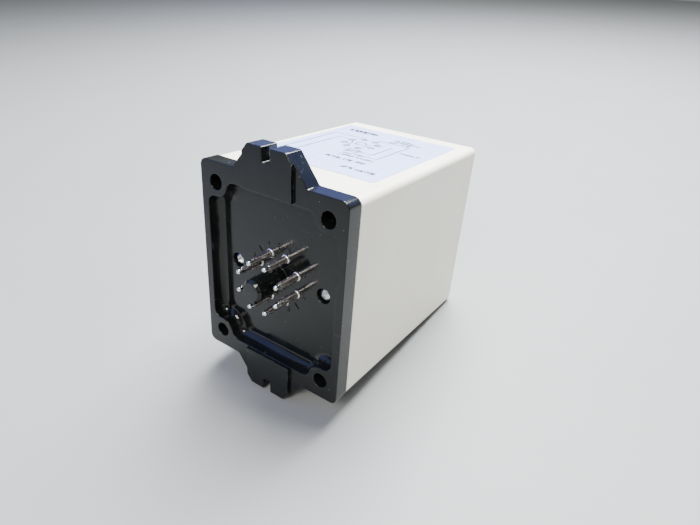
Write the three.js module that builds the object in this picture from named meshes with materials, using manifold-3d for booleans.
// Plug-in relay with an eight-pin octal base, built as it comes apart on the bench:
// a black moulded base with its pins and keyed post, a deep cream cover held by four
// long screws, and inside it a sheet-metal chassis that carries a circuit board, a
// small mains transformer and a hinged-armature relay.
//
// Millimetres. +Y runs from the pins into the cover and +Z is the label side. Lengths
// below are measured from the front rim of the base flange (y = 0); the finished group
// is shifted so that its origin is the centre of the end face of the keyed post.
import * as THREE from "three";
import { mergeVertices } from "three/addons/utils/BufferGeometryUtils.js";
import Module from "manifold-3d";

const wasm = await Module();
wasm.setup();

// ---------------------------------------------------------------------------
// Driving dimensions
// ---------------------------------------------------------------------------
const seatGap = 0.1; // between faces that rest on each other
const holeGap = 0.1; // radial, round a shank in its hole

const flange = { width: 60, height: 72, thick: 6, corner: 2.5 };
const tab = { reach: 9.2, rootHalf: 15.1, endHalf: 7.7, notchWide: 3.2, notchDeep: 4.7 };
const rib = { half: 10, proud: 1.1 }; // raised band down the middle of each tab
const recess = { rimSide: 3, rimEnd: 5.8, deep: 5, floorFillet: 3, wallFillet: 3.2 };
const boss = { insetX: 7, insetZ: 7, radius: 5 }; // round the cover-screw holes
const plinth = { thick: 4, fit: 0.3, corner: 1 }; // the step that enters the cover
const pillar = { radius: 4.2, long: 3 }; // behind the plinth, under the screw heads

const post = { radius: 3.95, reach: 8.35, chamfer: 0.8, keyWide: 1.6, keyReach: 4.9 };
const pin = { circle: 17.45, radius: 1.18, reach: 6.1, tail: 2.6 };
const pinCollar = { radius: 1.6, thick: 0.45 };
const pinFlare = { radius: 1.65, thick: 0.4 };

const cover = { length: 84, wall: 2, corner: 2.3, edge: 2, step: 0.5 }; // step: below the flange
const coverPillar = { radius: 4, pilot: 18 };
const label = { thick: 0.15, left: 4, right: 5.5, front: 14.5, rear: 9, corner: 1 };

const coverScrew = { headRadius: 2.45, headTall: 1.9, shank: 1.45, long: 13 };
const coverScrewHole = { radius: 2.7, seat: 10.5 }; // wide bore down to the head
const chassisScrew = { spacing: 38, headRadius: 2.25, headTall: 1.6, shank: 1.45 };
const chassisScrewBore = { radius: 2.65, deep: 2.4 }; // below the recess floor
const nut = { acrossFlats: 5.5, thick: 2.4, threadPast: 0.7 };

const chassis = { gauge: 1.2, sideGap: 3, pillarGap: 0.7, top: 20, pinRoom: 2.4 };
const shelf = { rearGap: 6, pastStrap: 0.2 };
const ear = { long: 10, tall: 12, firstAt: 6, lastAt: 16, holeDrop: 4 };

const board = { thick: 1.6, partsRoom: 12.3, screwGap: 0.35, rearGap: 6, bottomGap: 3, tall: 48 };
const boardScrew = { headRadius: 2.3, headTall: 1.5, shank: 1.2, past: 1.2 };
const capacitors = [
  { name: "capacitor_main", radius: 5, tall: 10.5, behind: 23, up: 28 },
  { name: "capacitor_timing", radius: 4, tall: 9.5, behind: 23, up: 14 },
];
const chip = { wide: 6.4, long: 19.3, tall: 3.3, standOff: 0.5, behind: 44, up: 20 };
const chipLeg = { count: 7, pitch: 2.54, halfWide: 0.4, thick: 0.3, splay: 0.6 };
const resistor = { body: 6.3, radius: 1.15, lead: 0.35, span: 10.2, stand: 2, up: 36 };
const resistorRow = { count: 3, behind: 38, pitch: 4 };
const diode = { body: 4.2, radius: 1.25, lead: 0.4, span: 8, stand: 2.2, up: 8 };
const diodeRow = { count: 2, behind: 56, pitch: 5 };

const wire = { radius: 0.6, leftBehind: 5, rightBehind: 9.6, topUp: 34, drop: 6, stagger: 3 };

const core = { wide: 32, tall: 27, stack: 12, leg: 5.3, behind: 18.7 };
const strap = { gauge: 0.8 };
const transformerBobbin = { wall: 0.8, clear: 0.3, overhang: 4.8 };
const transformerWinding = { clear: 0.2, inset: 0.5, corner: 2.5 };

const yoke = { wide: 18, gauge: 2, footLong: 21, tall: 26.9, behind: 36.5 };
const yokeLug = { out: 3, tall: 2, up: 9, behind: 2.5 };
const relayCore = { radius: 4, poleRadius: 5.5, poleThick: 1.6, spigot: 2.5, fromLeg: 10 };
const relayBobbin = { side: 18, flange: 1.2, wall: 1.1, clear: 0.2 };
const relayWinding = { thick: 3.3, clear: 0.1 };
const armature = { wide: 16, gauge: 1.5, pivotGap: 0.3, airGap: 1.3, shorter: 0.5 };
const armatureTail = { drop: 11.5, gap: 1.2 };
const armatureSwing = 3.5; // degrees from rest to pulled in
const carrier = { thick: 3.2, tall: 5, foot: 1 };
const blade = { wide: 4, thick: 0.35, long: 10.4, spacing: 8 };
const button = { radius: 1, tall: 0.6, fromEnd: 1.2 };
const contactBlock = { long: 9, tall: 4.8, standOff: 1 };
const spring = { coil: 1.3, wire: 0.25, turns: 8, endGap: 0.15 };

// ---------------------------------------------------------------------------
// Places worked out from the driving dimensions
// ---------------------------------------------------------------------------
const halfWide = flange.width / 2;
const halfTall = flange.height / 2;
const tabEnd = halfTall + tab.reach;
const plinthBack = flange.thick + plinth.thick;
const pillarBack = plinthBack + pillar.long;
const boltX = halfWide - boss.insetX;
const boltZ = halfTall - boss.insetZ;
const coverHalfTall = halfTall - cover.step;
const coverFront = flange.thick + seatGap;
const coverEnd = flange.thick + cover.length;
const innerX = halfWide - cover.wall;
const innerZ = coverHalfTall - cover.wall;
const innerEnd = coverEnd - cover.wall;
const chassisFront = plinthBack + seatGap;
const chassisBack = chassisFront + chassis.gauge;
const shelfTop = -(boltZ - pillar.radius - chassis.pillarGap) + chassis.gauge;
const shelfBottom = shelfTop - chassis.gauge;
const boardLeft = -innerX + board.partsRoom;
const boardRight = boardLeft + board.thick;
const nutFront = chassisBack + seatGap;
const nutBack = nutFront + nut.thick;
const chassisScrewEnd = nutBack + nut.threadPast + chassisScrew.shank;
const boardFront = chassisScrewEnd + board.screwGap;
const boardBack = innerEnd - board.rearGap;
const boardBottom = shelfTop + board.bottomGap;
const shelfLeft = boardRight + seatGap;
const shelfBack = innerEnd - shelf.rearGap;
const bayX = (shelfLeft + chassis.gauge + innerX) / 2; // middle of the space beside the board
const strapInside = core.wide + 2 * seatGap;
const strapOutside = strapInside + 2 * strap.gauge;
const shelfRight = bayX + strapOutside / 2 + shelf.pastStrap;
const onShelf = shelfTop + seatGap;

// ---------------------------------------------------------------------------
// Making solids
// ---------------------------------------------------------------------------
// A closed three.js geometry as a manifold solid.
function solid(geometry) {
  const bare = geometry.index ? geometry.toNonIndexed() : geometry.clone();
  bare.deleteAttribute("normal");
  bare.deleteAttribute("uv");
  const merged = mergeVertices(bare, 1e-4);
  const kept = [];
  const all = merged.index.array;
  for (let i = 0; i < all.length; i += 3) {
    const [a, b, c] = [all[i], all[i + 1], all[i + 2]];
    if (a !== b && b !== c && c !== a) kept.push(a, b, c);
  }
  const made = new wasm.Manifold(
    new wasm.Mesh({
      numProp: 3,
      vertProperties: merged.attributes.position.array,
      triVerts: new Uint32Array(kept),
    }),
  );
  if (made.volume() <= 0) throw new Error("a piece of geometry faces inwards");
  return made;
}

const join = (...pieces) => pieces.reduce((sum, piece) => sum.add(piece));
const cut = (body, ...tools) => tools.reduce((left, tool) => left.subtract(tool), body);

// A manifold solid as a three.js geometry.
function geometryOf(body) {
  const { vertProperties, triVerts } = body.getMesh();
  const geometry = new THREE.BufferGeometry();
  geometry.setAttribute("position", new THREE.BufferAttribute(vertProperties, 3));
  geometry.setIndex(new THREE.BufferAttribute(triVerts, 1));
  geometry.computeVertexNormals();
  return geometry;
}

function box(x0, x1, y0, y1, z0, z1) {
  const geometry = new THREE.BoxGeometry(x1 - x0, y1 - y0, z1 - z0);
  return solid(geometry.translate((x0 + x1) / 2, (y0 + y1) / 2, (z0 + z1) / 2));
}

// A round rod along Y, Z or X.
function rodY(radius, y0, y1, x = 0, z = 0, sides = 24) {
  const geometry = new THREE.CylinderGeometry(radius, radius, y1 - y0, sides);
  return solid(geometry.translate(x, (y0 + y1) / 2, z));
}
function rodZ(radius, z0, z1, x = 0, y = 0, sides = 24) {
  const geometry = new THREE.CylinderGeometry(radius, radius, z1 - z0, sides);
  return solid(geometry.rotateX(Math.PI / 2).translate(x, y, (z0 + z1) / 2));
}
function rodX(radius, x0, x1, y = 0, z = 0, sides = 24) {
  const geometry = new THREE.CylinderGeometry(radius, radius, x1 - x0, sides);
  return solid(geometry.rotateZ(Math.PI / 2).translate((x0 + x1) / 2, y, z));
}

// A shape drawn in x and z, pushed along Y from y0 to y1.
function pushY(shape, y0, y1, bevel = {}) {
  const options = { depth: y1 - y0, bevelEnabled: false, curveSegments: 3, ...bevel };
  const geometry = new THREE.ExtrudeGeometry(shape, options);
  return solid(geometry.rotateX(Math.PI / 2).translate(0, y1, 0));
}

// The same, with the edges at both ends rounded to the given radius inside the outline.
function pushRoundY(shape, y0, y1, radius, steps) {
  const bevel = {
    depth: y1 - y0 - 2 * radius,
    bevelEnabled: true,
    bevelThickness: radius,
    bevelSize: radius,
    bevelOffset: -radius,
    bevelSegments: steps,
  };
  return pushY(shape, y0 + radius, y1 - radius, bevel);
}

// A shape drawn in x and y, pushed along Z.
function pushZ(shape, z0, z1) {
  const options = { depth: z1 - z0, bevelEnabled: false, curveSegments: 3 };
  return solid(new THREE.ExtrudeGeometry(shape, options).translate(0, 0, z0));
}

// A profile of [radius, y] points, turned about the Y axis.
function turnY(profile, sides = 16) {
  const points = profile.map(([radius, y]) => new THREE.Vector2(radius, y));
  return solid(new THREE.LatheGeometry(points, sides));
}

function shapeOf(points) {
  return new THREE.Shape(points.map(([a, b]) => new THREE.Vector2(a, b)));
}

function roundedBar(halfA, halfB, radius) {
  const shape = new THREE.Shape();
  const quarter = Math.PI / 2;
  shape.absarc(halfA - radius, halfB - radius, radius, 0, quarter);
  shape.absarc(radius - halfA, halfB - radius, radius, quarter, 2 * quarter);
  shape.absarc(radius - halfA, radius - halfB, radius, 2 * quarter, 3 * quarter);
  shape.absarc(halfA - radius, radius - halfB, radius, 3 * quarter, 4 * quarter);
  shape.closePath();
  return shape;
}

const relay = new THREE.Group();
relay.position.y = post.reach;

function add(name, body, finish) {
  const mesh = new THREE.Mesh(geometryOf(body), new THREE.MeshStandardMaterial(finish));
  mesh.name = name;
  relay.add(mesh);
  return mesh;
}

const eachCorner = (make) =>
  [-1, 1].flatMap((x) => [-1, 1].map((z) => make(x * boltX, z * boltZ)));

const finishes = {
  phenolic: { color: 0x101412, roughness: 0.18, metalness: 0 },
  cream: { color: 0xe9e6d8, roughness: 0.5, metalness: 0 },
  foil: { color: 0xcfdaea, roughness: 0.4, metalness: 0.2 },
  nickel: { color: 0xcfc8bd, roughness: 0.28, metalness: 1 },
  zinc: { color: 0xd6dbdd, roughness: 0.3, metalness: 1 },
  sheetSteel: { color: 0xb9bdb4, roughness: 0.42, metalness: 1 },
  iron: { color: 0x9c9a94, roughness: 0.5, metalness: 1 },
  lamination: { color: 0x5d5a57, roughness: 0.6, metalness: 0.7 },
  nylon: { color: 0xe8e4d6, roughness: 0.55, metalness: 0 },
  tape: { color: 0xc9a13a, roughness: 0.45, metalness: 0 },
  copper: { color: 0xa4532a, roughness: 0.4, metalness: 0.8 },
  brass: { color: 0xc9a860, roughness: 0.35, metalness: 1 },
  bakelite: { color: 0x4a2e20, roughness: 0.5, metalness: 0 },
  glassEpoxy: { color: 0x2e6b3f, roughness: 0.5, metalness: 0 },
  sleeve: { color: 0x1d2f5c, roughness: 0.4, metalness: 0 },
  epoxy: { color: 0x1b1b1d, roughness: 0.6, metalness: 0 },
  resistorBody: { color: 0xc9a77b, roughness: 0.55, metalness: 0 },
  springSteel: { color: 0xa8aaac, roughness: 0.35, metalness: 1 },
};

// ---------------------------------------------------------------------------
// Base: flange with tabs, recess, plinth, screw pillars and keyed post, one moulding
// ---------------------------------------------------------------------------
function flangeOutline() {
  const shape = new THREE.Shape();
  const quarter = Math.PI / 2;
  const r = flange.corner;
  const [x, z] = [halfWide - r, halfTall - r];
  const tabPoints = [
    [tab.rootHalf, halfTall],
    [tab.endHalf, tabEnd],
    [tab.notchWide / 2, tabEnd],
    [tab.notchWide / 2, tabEnd - tab.notchDeep],
  ];
  const across = tabPoints.map(([a, b]) => [-a, b]).reverse();
  shape.absarc(x, z, r, 0, quarter);
  for (const [a, b] of [...tabPoints, ...across]) shape.lineTo(a, b);
  shape.absarc(-x, z, r, quarter, 2 * quarter);
  shape.absarc(-x, -z, r, 2 * quarter, 3 * quarter);
  for (const [a, b] of [...tabPoints, ...across]) shape.lineTo(-a, -b);
  shape.absarc(x, -z, r, 3 * quarter, 4 * quarter);
  shape.closePath();
  return shape;
}

// The arc of a circle as points, from angle a0 to a1.
function arcPoints(x, z, radius, a0, a1, steps) {
  return Array.from({ length: steps + 1 }, (unused, i) => {
    const angle = a0 + ((a1 - a0) * i) / steps;
    return [x + radius * Math.cos(angle), z + radius * Math.sin(angle)];
  });
}

// One corner of the recess: wall fillet, the curve round the screw boss, wall fillet.
function recessCorner(wallX, wallZ) {
  const r = recess.wallFillet;
  const reach = boss.radius + r;
  const sideX = wallX - r;
  const sideZ = boltZ - Math.sqrt(reach ** 2 - (sideX - boltX) ** 2);
  const endZ = wallZ - r;
  const endX = boltX - Math.sqrt(reach ** 2 - (endZ - boltZ) ** 2);
  const sideTurn = Math.atan2(boltZ - sideZ, boltX - sideX);
  const endTurn = Math.atan2(boltZ - endZ, boltX - endX);
  return [
    ...arcPoints(sideX, sideZ, r, 0, sideTurn, 5),
    ...arcPoints(boltX, boltZ, boss.radius, sideTurn - Math.PI, endTurn - Math.PI, 6).slice(1, -1),
    ...arcPoints(endX, endZ, r, endTurn, Math.PI / 2, 5),
  ];
}

function recessTool() {
  const corner = recessCorner(halfWide - recess.rimSide, halfTall - recess.rimEnd);
  const mirrored = corner.map(([x, z]) => [-x, z]).reverse();
  const upper = [...corner, ...mirrored];
  const lower = upper.map(([x, z]) => [-x, -z]);
  const outline = shapeOf([...upper, ...lower]);
  return pushRoundY(outline, -recess.deep - recess.floorFillet, recess.deep, recess.floorFillet, 5);
}

function tabRib(side) {
  const inner = halfTall - recess.rimEnd;
  const profile = [
    [inner, 0.5],
    [inner, 0],
    [inner + rib.proud, -rib.proud],
    [tabEnd + 1, -rib.proud],
    [tabEnd + 1, 0.5],
  ];
  const options = { depth: 2 * rib.half, bevelEnabled: false };
  const band = new THREE.ExtrudeGeometry(shapeOf(profile), options);
  const turn = new THREE.Matrix4().makeBasis(
    new THREE.Vector3(0, 0, side),
    new THREE.Vector3(0, 1, 0),
    new THREE.Vector3(-side, 0, 0),
  );
  return solid(band.applyMatrix4(turn).translate(side * rib.half, 0, 0));
}

function keyedPost() {
  const root = recess.deep + 1;
  const body = turnY(
    [
      [0, -post.reach],
      [post.radius - post.chamfer, -post.reach],
      [post.radius, -post.reach + post.chamfer],
      [post.radius, root],
      [0, root],
    ],
    32,
  );
  const half = post.keyWide / 2;
  const key = box(-half, half, -post.reach + post.chamfer, root, -post.keyReach, 0);
  return join(body, key);
}

const pinPlaces = Array.from({ length: 8 }, (unused, i) => {
  const angle = THREE.MathUtils.degToRad(247.5 - 45 * i);
  const radius = pin.circle / 2;
  return { number: i + 1, x: radius * Math.cos(angle), z: radius * Math.sin(angle) };
});

function base() {
  const flangePlate = pushY(flangeOutline(), 0, flange.thick);
  const ribbed = [-1, 1].map((side) =>
    tabRib(side).intersect(pushY(flangeOutline(), -2 * rib.proud, flange.thick)),
  );
  const step = pushY(
    roundedBar(innerX - plinth.fit, innerZ - plinth.fit, plinth.corner),
    flange.thick - 1,
    plinthBack,
  );
  const pillars = eachCorner((x, z) => rodY(pillar.radius, plinthBack - 1, pillarBack, x, z, 20));
  const hollowed = cut(join(flangePlate, ...ribbed, step), recessTool());
  const body = join(hollowed, ...pillars, keyedPost());
  const screwBores = eachCorner((x, z) =>
    join(
      rodY(coverScrewHole.radius, -1, coverScrewHole.seat, x, z, 20),
      rodY(coverScrew.shank + holeGap, 0, pillarBack + 1, x, z, 12),
    ),
  );
  const chassisBores = [-1, 1].map((side) => {
    const x = (side * chassisScrew.spacing) / 2;
    const bottom = recess.deep + chassisScrewBore.deep;
    return join(
      rodY(chassisScrewBore.radius, 0, bottom, x, 0, 20),
      rodY(chassisScrew.shank + holeGap, 0, plinthBack + 1, x, 0, 12),
    );
  });
  const pinBores = pinPlaces.map(({ x, z }) =>
    rodY(pin.radius + holeGap, 0, plinthBack + 1, x, z, 14),
  );
  return cut(body, ...screwBores, ...chassisBores, ...pinBores);
}

add("base_flange", base(), finishes.phenolic);

// ---------------------------------------------------------------------------
// Contact pins: tubes with a rounded tip, a collar on the floor and a flared back
// ---------------------------------------------------------------------------
function contactPin({ x, z }) {
  const floor = recess.deep - seatGap;
  const back = plinthBack + seatGap;
  const dome = [0, 0.35, 0.7].map((turn) => {
    const angle = (turn * Math.PI) / 2;
    return [pin.radius * Math.sin(angle), -pin.reach + pin.radius * (1 - Math.cos(angle))];
  });
  const profile = [
    ...dome,
    [pin.radius, -pin.reach + pin.radius],
    [pin.radius, floor - pinCollar.thick],
    [pinCollar.radius, floor - pinCollar.thick],
    [pinCollar.radius, floor],
    [pin.radius, floor],
    [pin.radius, back],
    [pinFlare.radius, back],
    [pinFlare.radius, back + pinFlare.thick],
    [pin.radius, back + pinFlare.thick],
    [pin.radius, plinthBack + pin.tail],
    [0, plinthBack + pin.tail],
  ];
  return turnY(profile, 14).translate([x, 0, z]);
}

for (const place of pinPlaces) add(`pin_${place.number}`, contactPin(place), finishes.nickel);

// ---------------------------------------------------------------------------
// Cover: five-sided shell with a screw pillar down each inside corner
// ---------------------------------------------------------------------------
function coverShell() {
  const outline = roundedBar(halfWide, coverHalfTall, cover.corner);
  const round = pushRoundY(outline, coverFront - 2 * cover.edge, coverEnd, cover.edge, 4);
  const outer = round.intersect(
    box(-halfWide - 1, halfWide + 1, coverFront, coverEnd + 1, -halfTall - 1, halfTall + 1),
  );
  const inner = pushY(roundedBar(innerX, innerZ, plinth.corner), coverFront - 1, innerEnd);
  const front = pillarBack + seatGap;
  const pillars = eachCorner((x, z) => rodY(coverPillar.radius, front, innerEnd + 1, x, z, 16));
  const pilots = eachCorner((x, z) =>
    rodY(coverScrew.shank + holeGap, front - 1, front + coverPillar.pilot, x, z, 12),
  );
  return cut(join(cut(outer, inner), ...pillars), ...pilots);
}

add("cover_shell", coverShell(), finishes.cream);

// The printed label on the top face.
function wiringLabel() {
  const plate = roundedBar(
    (flange.width - label.left - label.right) / 2,
    (cover.length - label.front - label.rear) / 2,
    label.corner,
  );
  const lower = coverHalfTall + seatGap / 2;
  return pushZ(plate, lower, lower + label.thick).translate([
    (label.left - label.right) / 2,
    flange.thick + (cover.length + label.front - label.rear) / 2,
    0,
  ]);
}

add("wiring_label", wiringLabel(), finishes.foil);

// ---------------------------------------------------------------------------
// Fasteners
// ---------------------------------------------------------------------------
// A pan-head screw along +Y whose head rests on y = seat.
function panScrew(sizes, seat, end) {
  const top = seat - sizes.headTall;
  return turnY(
    [
      [0, top],
      [sizes.headRadius * 0.7, top],
      [sizes.headRadius, top + sizes.headTall * 0.45],
      [sizes.headRadius, seat],
      [sizes.shank, seat],
      [sizes.shank, end - sizes.shank],
      [0, end],
    ],
    12,
  );
}

eachCorner((x, z) => {
  const seat = coverScrewHole.seat - seatGap;
  const name = `cover_screw_${z > 0 ? "top" : "bottom"}_${x > 0 ? "right" : "left"}`;
  add(name, panScrew(coverScrew, seat, seat + coverScrew.long).translate([x, 0, z]), finishes.zinc);
});

for (const [side, word] of [[-1, "left"], [1, "right"]]) {
  const x = (side * chassisScrew.spacing) / 2;
  const seat = recess.deep + chassisScrewBore.deep - seatGap;
  const screw = panScrew(chassisScrew, seat, chassisScrewEnd);
  add(`chassis_screw_${word}`, screw.translate([x, 0, 0]), finishes.zinc);
  const corner = nut.acrossFlats / Math.sqrt(3);
  const hexagon = cut(
    rodY(corner, nutFront, nutBack, x, 0, 6),
    rodY(chassisScrew.shank + holeGap, nutFront - 1, nutBack + 1, x, 0, 12),
  );
  add(`chassis_nut_${word}`, hexagon, finishes.zinc);
}

// ---------------------------------------------------------------------------
// Chassis: one bent sheet, a front plate, a shelf and two ears for the board
// ---------------------------------------------------------------------------
const earPlaces = [boardFront + ear.firstAt, shelfBack - ear.lastAt].map((y) => ({
  y0: y,
  y1: y + ear.long,
  holeY: y + ear.long / 2,
  holeZ: shelfBottom + ear.tall - ear.holeDrop,
}));

function chassisBracket() {
  const plateX = innerX - chassis.sideGap;
  const plate = box(-plateX, plateX, chassisFront, chassisBack, shelfBottom, chassis.top);
  const tray = box(shelfLeft, shelfRight, chassisFront, shelfBack, shelfBottom, shelfTop);
  const ears = earPlaces.map(({ y0, y1 }) =>
    box(shelfLeft, shelfLeft + chassis.gauge, y0, y1, shelfBottom, shelfBottom + ear.tall),
  );
  const pinHole = pin.circle / 2 + pinFlare.radius + chassis.pinRoom;
  const tools = [
    rodY(pinHole, chassisFront - 1, chassisBack + 1, 0, 0, 28),
    ...[-1, 1].map((side) => {
      const x = (side * chassisScrew.spacing) / 2;
      return rodY(chassisScrew.shank + holeGap, chassisFront - 1, chassisBack + 1, x, 0, 12);
    }),
    ...earPlaces.map(({ holeY, holeZ }) =>
      rodX(boardScrew.shank + holeGap, shelfLeft - 1, shelfLeft + 2 * chassis.gauge, holeY, holeZ, 12),
    ),
  ];
  return cut(join(plate, tray, ...ears), ...tools);
}

add("chassis_bracket", chassisBracket(), finishes.sheetSteel);

// ---------------------------------------------------------------------------
// Circuit board and what is soldered on it
// ---------------------------------------------------------------------------
function circuitBoard() {
  const body = box(
    boardLeft,
    boardRight,
    boardFront,
    boardBack,
    boardBottom,
    boardBottom + board.tall,
  );
  const holes = earPlaces.map(({ holeY, holeZ }) =>
    rodX(boardScrew.shank + holeGap, boardLeft - 1, boardRight + 1, holeY, holeZ, 12),
  );
  return cut(body, ...holes);
}

add("circuit_board", circuitBoard(), finishes.glassEpoxy);

earPlaces.forEach(({ holeY, holeZ }, i) => {
  const end = shelfLeft + chassis.gauge + boardScrew.past + boardScrew.shank;
  const upright = panScrew(boardScrew, boardLeft - seatGap, end);
  const screw = upright.rotate([0, 0, -90]).translate([0, holeY, holeZ]);
  add(i ? "board_screw_rear" : "board_screw_front", screw, finishes.zinc);
});

// Parts stand on the left face of the board, so their height runs along -X.
const partsFoot = boardLeft - seatGap;
for (const can of capacitors) {
  const bead = 0.6;
  const profile = [
    [0, 0],
    [can.radius, 0],
    [can.radius, can.tall - bead],
    [can.radius - bead, can.tall],
    [0, can.tall],
  ];
  const body = turnY(profile, 20).rotate([0, 0, 90]);
  const place = [partsFoot, boardFront + can.behind, boardBottom + can.up];
  add(can.name, body.translate(place), finishes.sleeve);
}

function dualInLineChip() {
  const [y, z] = [boardFront + chip.behind, boardBottom + chip.up];
  const foot = partsFoot - chip.standOff;
  const top = foot - chip.tall;
  const [halfY, halfZ] = [chip.wide / 2, chip.long / 2];
  const body = box(top, foot, y - halfY, y + halfY, z - halfZ, z + halfZ);
  const waist = top + chip.tall / 2;
  const out = halfY + chipLeg.splay;
  const legs = Array.from({ length: chipLeg.count }, (unused, i) => {
    const middle = z + (i - (chipLeg.count - 1) / 2) * chipLeg.pitch;
    const [low, high] = [middle - chipLeg.halfWide, middle + chipLeg.halfWide];
    const bar = box(waist, waist + chipLeg.thick, y - out, y + out, low, high);
    const feet = [-1, 1].map((side) => {
      const across = y + side * (out - chipLeg.thick / 2);
      const half = chipLeg.thick / 2;
      return box(waist, partsFoot, across - half, across + half, low, high);
    });
    return join(bar, ...feet);
  });
  return join(body, ...legs);
}

add("logic_chip", dualInLineChip(), finishes.epoxy);

// A small part lying along Y above the board, on two bent leads.
function axialPart(sizes, y, z) {
  const x = partsFoot - sizes.stand;
  const halfBody = sizes.body / 2;
  const halfSpan = sizes.span / 2;
  const waist = sizes.radius * 0.85;
  const profile = [
    [0, -halfBody],
    [sizes.radius * 0.8, -halfBody],
    [sizes.radius, -halfBody * 0.75],
    [waist, -halfBody * 0.45],
    [waist, halfBody * 0.45],
    [sizes.radius, halfBody * 0.75],
    [sizes.radius * 0.8, halfBody],
    [0, halfBody],
  ];
  const body = turnY(profile, 10).translate([x, y, z]);
  const lead = rodY(sizes.lead, y - halfSpan, y + halfSpan, x, z, 6);
  const legs = [-1, 1].map((side) =>
    rodX(sizes.lead, x - sizes.lead, partsFoot, y + side * (halfSpan - sizes.lead), z, 6),
  );
  return join(body, lead, ...legs);
}

function axialRow(name, sizes, row, finish) {
  for (let i = 0; i < row.count; i++) {
    const y = boardFront + row.behind;
    const z = boardBottom + sizes.up + i * row.pitch;
    add(`${name}_${i + 1}`, axialPart(sizes, y, z), finish);
  }
}

axialRow("resistor", resistor, resistorRow, finishes.resistorBody);
axialRow("diode", diode, diodeRow, finishes.epoxy);

// ---------------------------------------------------------------------------
// Lead wires from the pin tails to the right face of the board
// ---------------------------------------------------------------------------
function leadWire({ number, x, z }) {
  const fromLeft = number <= 4;
  const row = fromLeft ? number - 1 : 8 - number;
  const start = plinthBack + pin.tail + seatGap;
  const across = chassisBack + (fromLeft ? wire.leftBehind : wire.rightBehind);
  const up = boardBottom + wire.topUp - (3 - row) * wire.drop + (fromLeft ? -wire.stagger : 0);
  const face = boardRight + seatGap;
  const path = new THREE.CatmullRomCurve3(
    [
      new THREE.Vector3(x, start, z),
      new THREE.Vector3(x, start + 1.2, z),
      new THREE.Vector3(x - 1.2, across - 0.5, z + (up - z) * 0.12),
      new THREE.Vector3((x + face) / 2, across, (z + up) / 2),
      new THREE.Vector3(face + 2.5, across, up),
      new THREE.Vector3(face, across, up),
    ],
    false,
    "centripetal",
  );
  const section = new THREE.Shape();
  section.absarc(0, 0, wire.radius, 0, 2 * Math.PI);
  const options = { steps: 13, curveSegments: 3, bevelEnabled: false, extrudePath: path };
  return solid(new THREE.ExtrudeGeometry(section, options));
}

const wireColours = [0x7a4a24, 0xb3261e, 0xd0661c, 0xd9b92c, 0x2f7d3b, 0x2c5ba8, 0x7b4a94, 0x8c8c8c];
for (const place of pinPlaces) {
  const finish = { color: wireColours[place.number - 1], roughness: 0.45, metalness: 0 };
  add(`lead_wire_${place.number}`, leadWire(place), finish);
}

// ---------------------------------------------------------------------------
// Mains transformer: laminated core, bobbin, winding and the strap that holds it
// ---------------------------------------------------------------------------
const coreY = chassisBack + core.behind + core.stack / 2;
const coreTop = onShelf + core.tall;
const windowWide = (core.wide - 4 * core.leg) / 2;

function centredBox(wide, long, z0, z1, x = bayX, y = coreY) {
  return box(x - wide / 2, x + wide / 2, y - long / 2, y + long / 2, z0, z1);
}

function transformerCore() {
  const windows = [-1, 1].map((side) =>
    centredBox(
      windowWide,
      core.stack + 2,
      onShelf + core.leg,
      coreTop - core.leg,
      bayX + side * (core.leg + windowWide / 2),
    ),
  );
  return cut(centredBox(core.wide, core.stack, onShelf, coreTop), ...windows);
}

function transformerCoil() {
  const { wall, clear, overhang } = transformerBobbin;
  const [low, high] = [onShelf + core.leg + clear, coreTop - core.leg - clear];
  const holeWide = 2 * core.leg + 2 * clear;
  const holeLong = core.stack + 2 * clear;
  const flangeWide = 2 * (core.leg + windowWide - clear);
  const flangeLong = core.stack + 2 * overhang;
  const tube = centredBox(holeWide + 2 * wall, holeLong + 2 * wall, low, high);
  const plates = [low, high - wall].map((z) => centredBox(flangeWide, flangeLong, z, z + wall));
  const bobbin = cut(join(tube, ...plates), centredBox(holeWide, holeLong, low - 1, high + 1));
  const { clear: slack, inset, corner } = transformerWinding;
  const wound = roundedBar(flangeWide / 2 - inset, flangeLong / 2 - inset, corner);
  const winding = cut(
    pushZ(wound, low + wall + slack, high - wall - slack).translate([bayX, coreY, 0]),
    centredBox(holeWide + 2 * wall + 2 * slack, holeLong + 2 * wall + 2 * slack, low, high),
  );
  return { bobbin, winding };
}

add("transformer_core", transformerCore(), finishes.lamination);
const transformer = transformerCoil();
add("transformer_bobbin", transformer.bobbin, finishes.nylon);
add("transformer_winding", transformer.winding, finishes.tape);

const strapTop = coreTop + seatGap;
const transformerStrap = cut(
  centredBox(strapOutside, core.stack, onShelf, strapTop + strap.gauge),
  centredBox(strapInside, core.stack + 2, onShelf - 1, strapTop),
);
add("transformer_strap", transformerStrap, finishes.sheetSteel);

// ---------------------------------------------------------------------------
// Relay: yoke, core, coil, armature with its moving blades, and the fixed contacts
// ---------------------------------------------------------------------------
const yokeFront = chassisBack + yoke.behind;
const legBack = yokeFront + yoke.footLong;
const yokeTop = onShelf + yoke.tall;
const relayY = legBack - yoke.gauge - relayCore.fromLeg;
const footTop = onShelf + yoke.gauge;
const plateUnder = yokeTop + armature.pivotGap;
const poleTop = plateUnder - armature.airGap;
const lugX = bayX - yoke.wide / 2 - yokeLug.out / 2;

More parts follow.
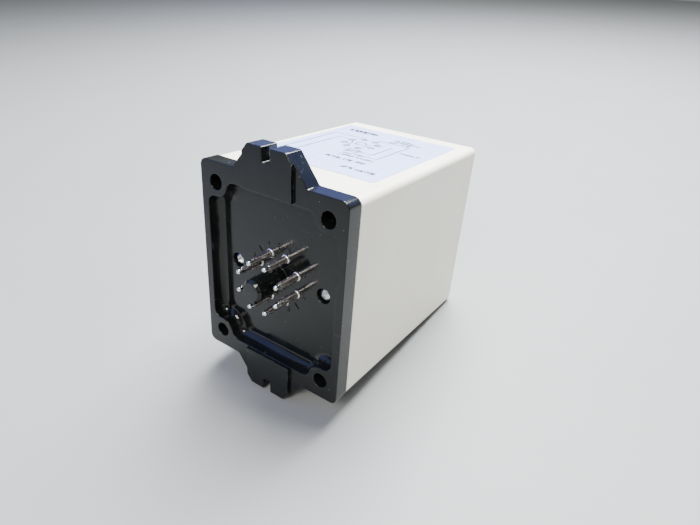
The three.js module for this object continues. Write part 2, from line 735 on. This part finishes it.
function relayYoke() {
  const half = yoke.wide / 2;
  const foot = box(bayX - half, bayX + half, yokeFront, legBack, onShelf, footTop);
  const leg = box(bayX - half, bayX + half, legBack - yoke.gauge, legBack, onShelf, yokeTop);
  const lugUp = onShelf + yokeLug.up;
  const lug = box(
    bayX - half - yokeLug.out,
    bayX - half + 1,
    legBack - yoke.gauge,
    legBack + yokeLug.behind,
    lugUp,
    lugUp + yokeLug.tall,
  );
  const clearOfTail = box(
    bayX - half,
    bayX + half + 1,
    legBack,
    legBack + yokeLug.behind + 1,
    lugUp - 1,
    lugUp + yokeLug.tall + 1,
  );
  const rivetHole = rodZ(relayCore.spigot + holeGap, onShelf - 1, footTop + 1, bayX, relayY, 16);
  return cut(join(foot, leg, lug), clearOfTail, rivetHole);
}

add("relay_yoke", relayYoke(), finishes.iron);

const relayCorePiece = join(
  rodZ(relayCore.spigot, onShelf, footTop + 1, bayX, relayY, 16),
  rodZ(relayCore.radius, footTop + seatGap, poleTop - relayCore.poleThick / 2, bayX, relayY, 20),
  rodZ(relayCore.poleRadius, poleTop - relayCore.poleThick, poleTop, bayX, relayY, 20),
);
add("relay_core", relayCorePiece, finishes.iron);

function relayCoil() {
  const low = footTop + seatGap;
  const high = poleTop - relayCore.poleThick - relayBobbin.clear;
  const side = relayBobbin.side;
  const tubeRadius = relayCore.radius + holeGap + relayBobbin.wall;
  const plates = [low, high - relayBobbin.flange].map((z) =>
    centredBox(side, side, z, z + relayBobbin.flange, bayX, relayY),
  );
  const bobbin = cut(
    join(rodZ(tubeRadius, low, high, bayX, relayY, 20), ...plates),
    rodZ(relayCore.radius + holeGap, low - 1, high + 1, bayX, relayY, 20),
  );
  const [bottom, top] = [low + relayBobbin.flange, high - relayBobbin.flange];
  const clear = relayWinding.clear;
  const inside = tubeRadius + clear;
  const winding = cut(
    rodZ(inside + relayWinding.thick, bottom + clear, top - clear, bayX, relayY, 24),
    rodZ(inside, bottom, top, bayX, relayY, 20),
  );
  return { bobbin, winding };
}

const coil = relayCoil();
add("coil_bobbin", coil.bobbin, finishes.nylon);
add("coil_winding", coil.winding, finishes.copper);

const tailFront = legBack + armatureTail.gap;
const tailBack = tailFront + armature.gauge;
const plateTop = plateUnder + armature.gauge;
const tailFoot = plateUnder - armatureTail.drop;

function armaturePlate() {
  const half = armature.wide / 2;
  const plate = box(bayX - half, bayX + half, yokeFront + armature.shorter, tailBack, plateUnder, plateTop);
  const tail = box(bayX - half, bayX + half, tailFront, tailBack, tailFoot, plateTop);
  const lug = box(
    lugX - yokeLug.out / 2,
    bayX - half + 1,
    tailFront,
    tailBack,
    plateUnder,
    plateTop,
  );
  return join(plate, tail, lug);
}

add("armature", armaturePlate(), finishes.iron);

const carrierFront = tailBack + seatGap;
const carrierFoot = tailFoot + carrier.foot;
const contactCarrier = centredBox(
  armature.wide,
  carrier.thick,
  carrierFoot,
  carrierFoot + carrier.tall,
  bayX,
  carrierFront + carrier.thick / 2,
);
add("contact_carrier", contactCarrier, finishes.bakelite);

// A flat blade standing along Z with a contact button on the faces asked for.
const stack = blade.thick / 2 + button.tall;
function contactBlade(x, y, z0, z1, buttonZ, sides) {
  const plate = centredBox(blade.wide, blade.thick, z0, z1, x, y);
  const buttons = sides.map((side) => {
    const outer = y + side * stack;
    return rodY(button.radius, Math.min(y, outer), Math.max(y, outer), x, buttonZ, 12);
  });
  return join(plate, ...buttons);
}

const movingY = carrierFront + carrier.thick / 2;
const bladeTop = carrierFoot - seatGap;
const bladeFoot = bladeTop - blade.long;
const buttonZ = bladeFoot + button.fromEnd;
const travel = (plateUnder - buttonZ) * Math.sin(THREE.MathUtils.degToRad(armatureSwing));
const blockTop = onShelf + contactBlock.tall;
const closedY = movingY - 2 * stack - seatGap;
const openY = movingY + 2 * stack + travel + seatGap;
const fixedTop = buttonZ + button.fromEnd;
const bladeRows = [["left", -1], ["right", 1]];

for (const [word, side] of bladeRows) {
  const x = bayX + (side * blade.spacing) / 2;
  const foot = blockTop + seatGap;
  const moving = contactBlade(x, movingY, bladeFoot, bladeTop, buttonZ, [-1, 1]);
  add(`moving_contact_${word}`, moving, finishes.brass);
  const closed = contactBlade(x, closedY, foot, fixedTop, buttonZ, [1]);
  add(`closed_contact_${word}`, closed, finishes.brass);
  const open = contactBlade(x, openY, foot, fixedTop, buttonZ, [-1]);
  add(`open_contact_${word}`, open, finishes.brass);
}

const blockFront = legBack + contactBlock.standOff;
const contactBlockPiece = centredBox(
  yoke.wide,
  contactBlock.long,
  onShelf,
  blockTop,
  bayX,
  blockFront + contactBlock.long / 2,
);
add("contact_block", contactBlockPiece, finishes.bakelite);

// The return spring, a coil that pulls the armature's lug down to the yoke's.
function returnSpring() {
  const low = onShelf + yokeLug.up + yokeLug.tall + spring.wire + spring.endGap;
  const high = plateUnder - spring.wire - spring.endGap;
  const y = tailFront + armature.gauge / 2;
  class Helix extends THREE.Curve {
    getPoint(t, target = new THREE.Vector3()) {
      const angle = 2 * Math.PI * spring.turns * t;
      const x = lugX + spring.coil * Math.cos(angle);
      return target.set(x, y + spring.coil * Math.sin(angle), low + (high - low) * t);
    }
  }
  const section = new THREE.Shape();
  section.absarc(0, 0, spring.wire, 0, 2 * Math.PI);
  const options = {
    steps: spring.turns * 8,
    curveSegments: 2,
    bevelEnabled: false,
    extrudePath: new Helix(),
  };
  return solid(new THREE.ExtrudeGeometry(section, options));
}

add("return_spring", returnSpring(), finishes.springSteel);

const plugInRelay = new THREE.Group();
plugInRelay.add(relay);

export default plugInRelay;
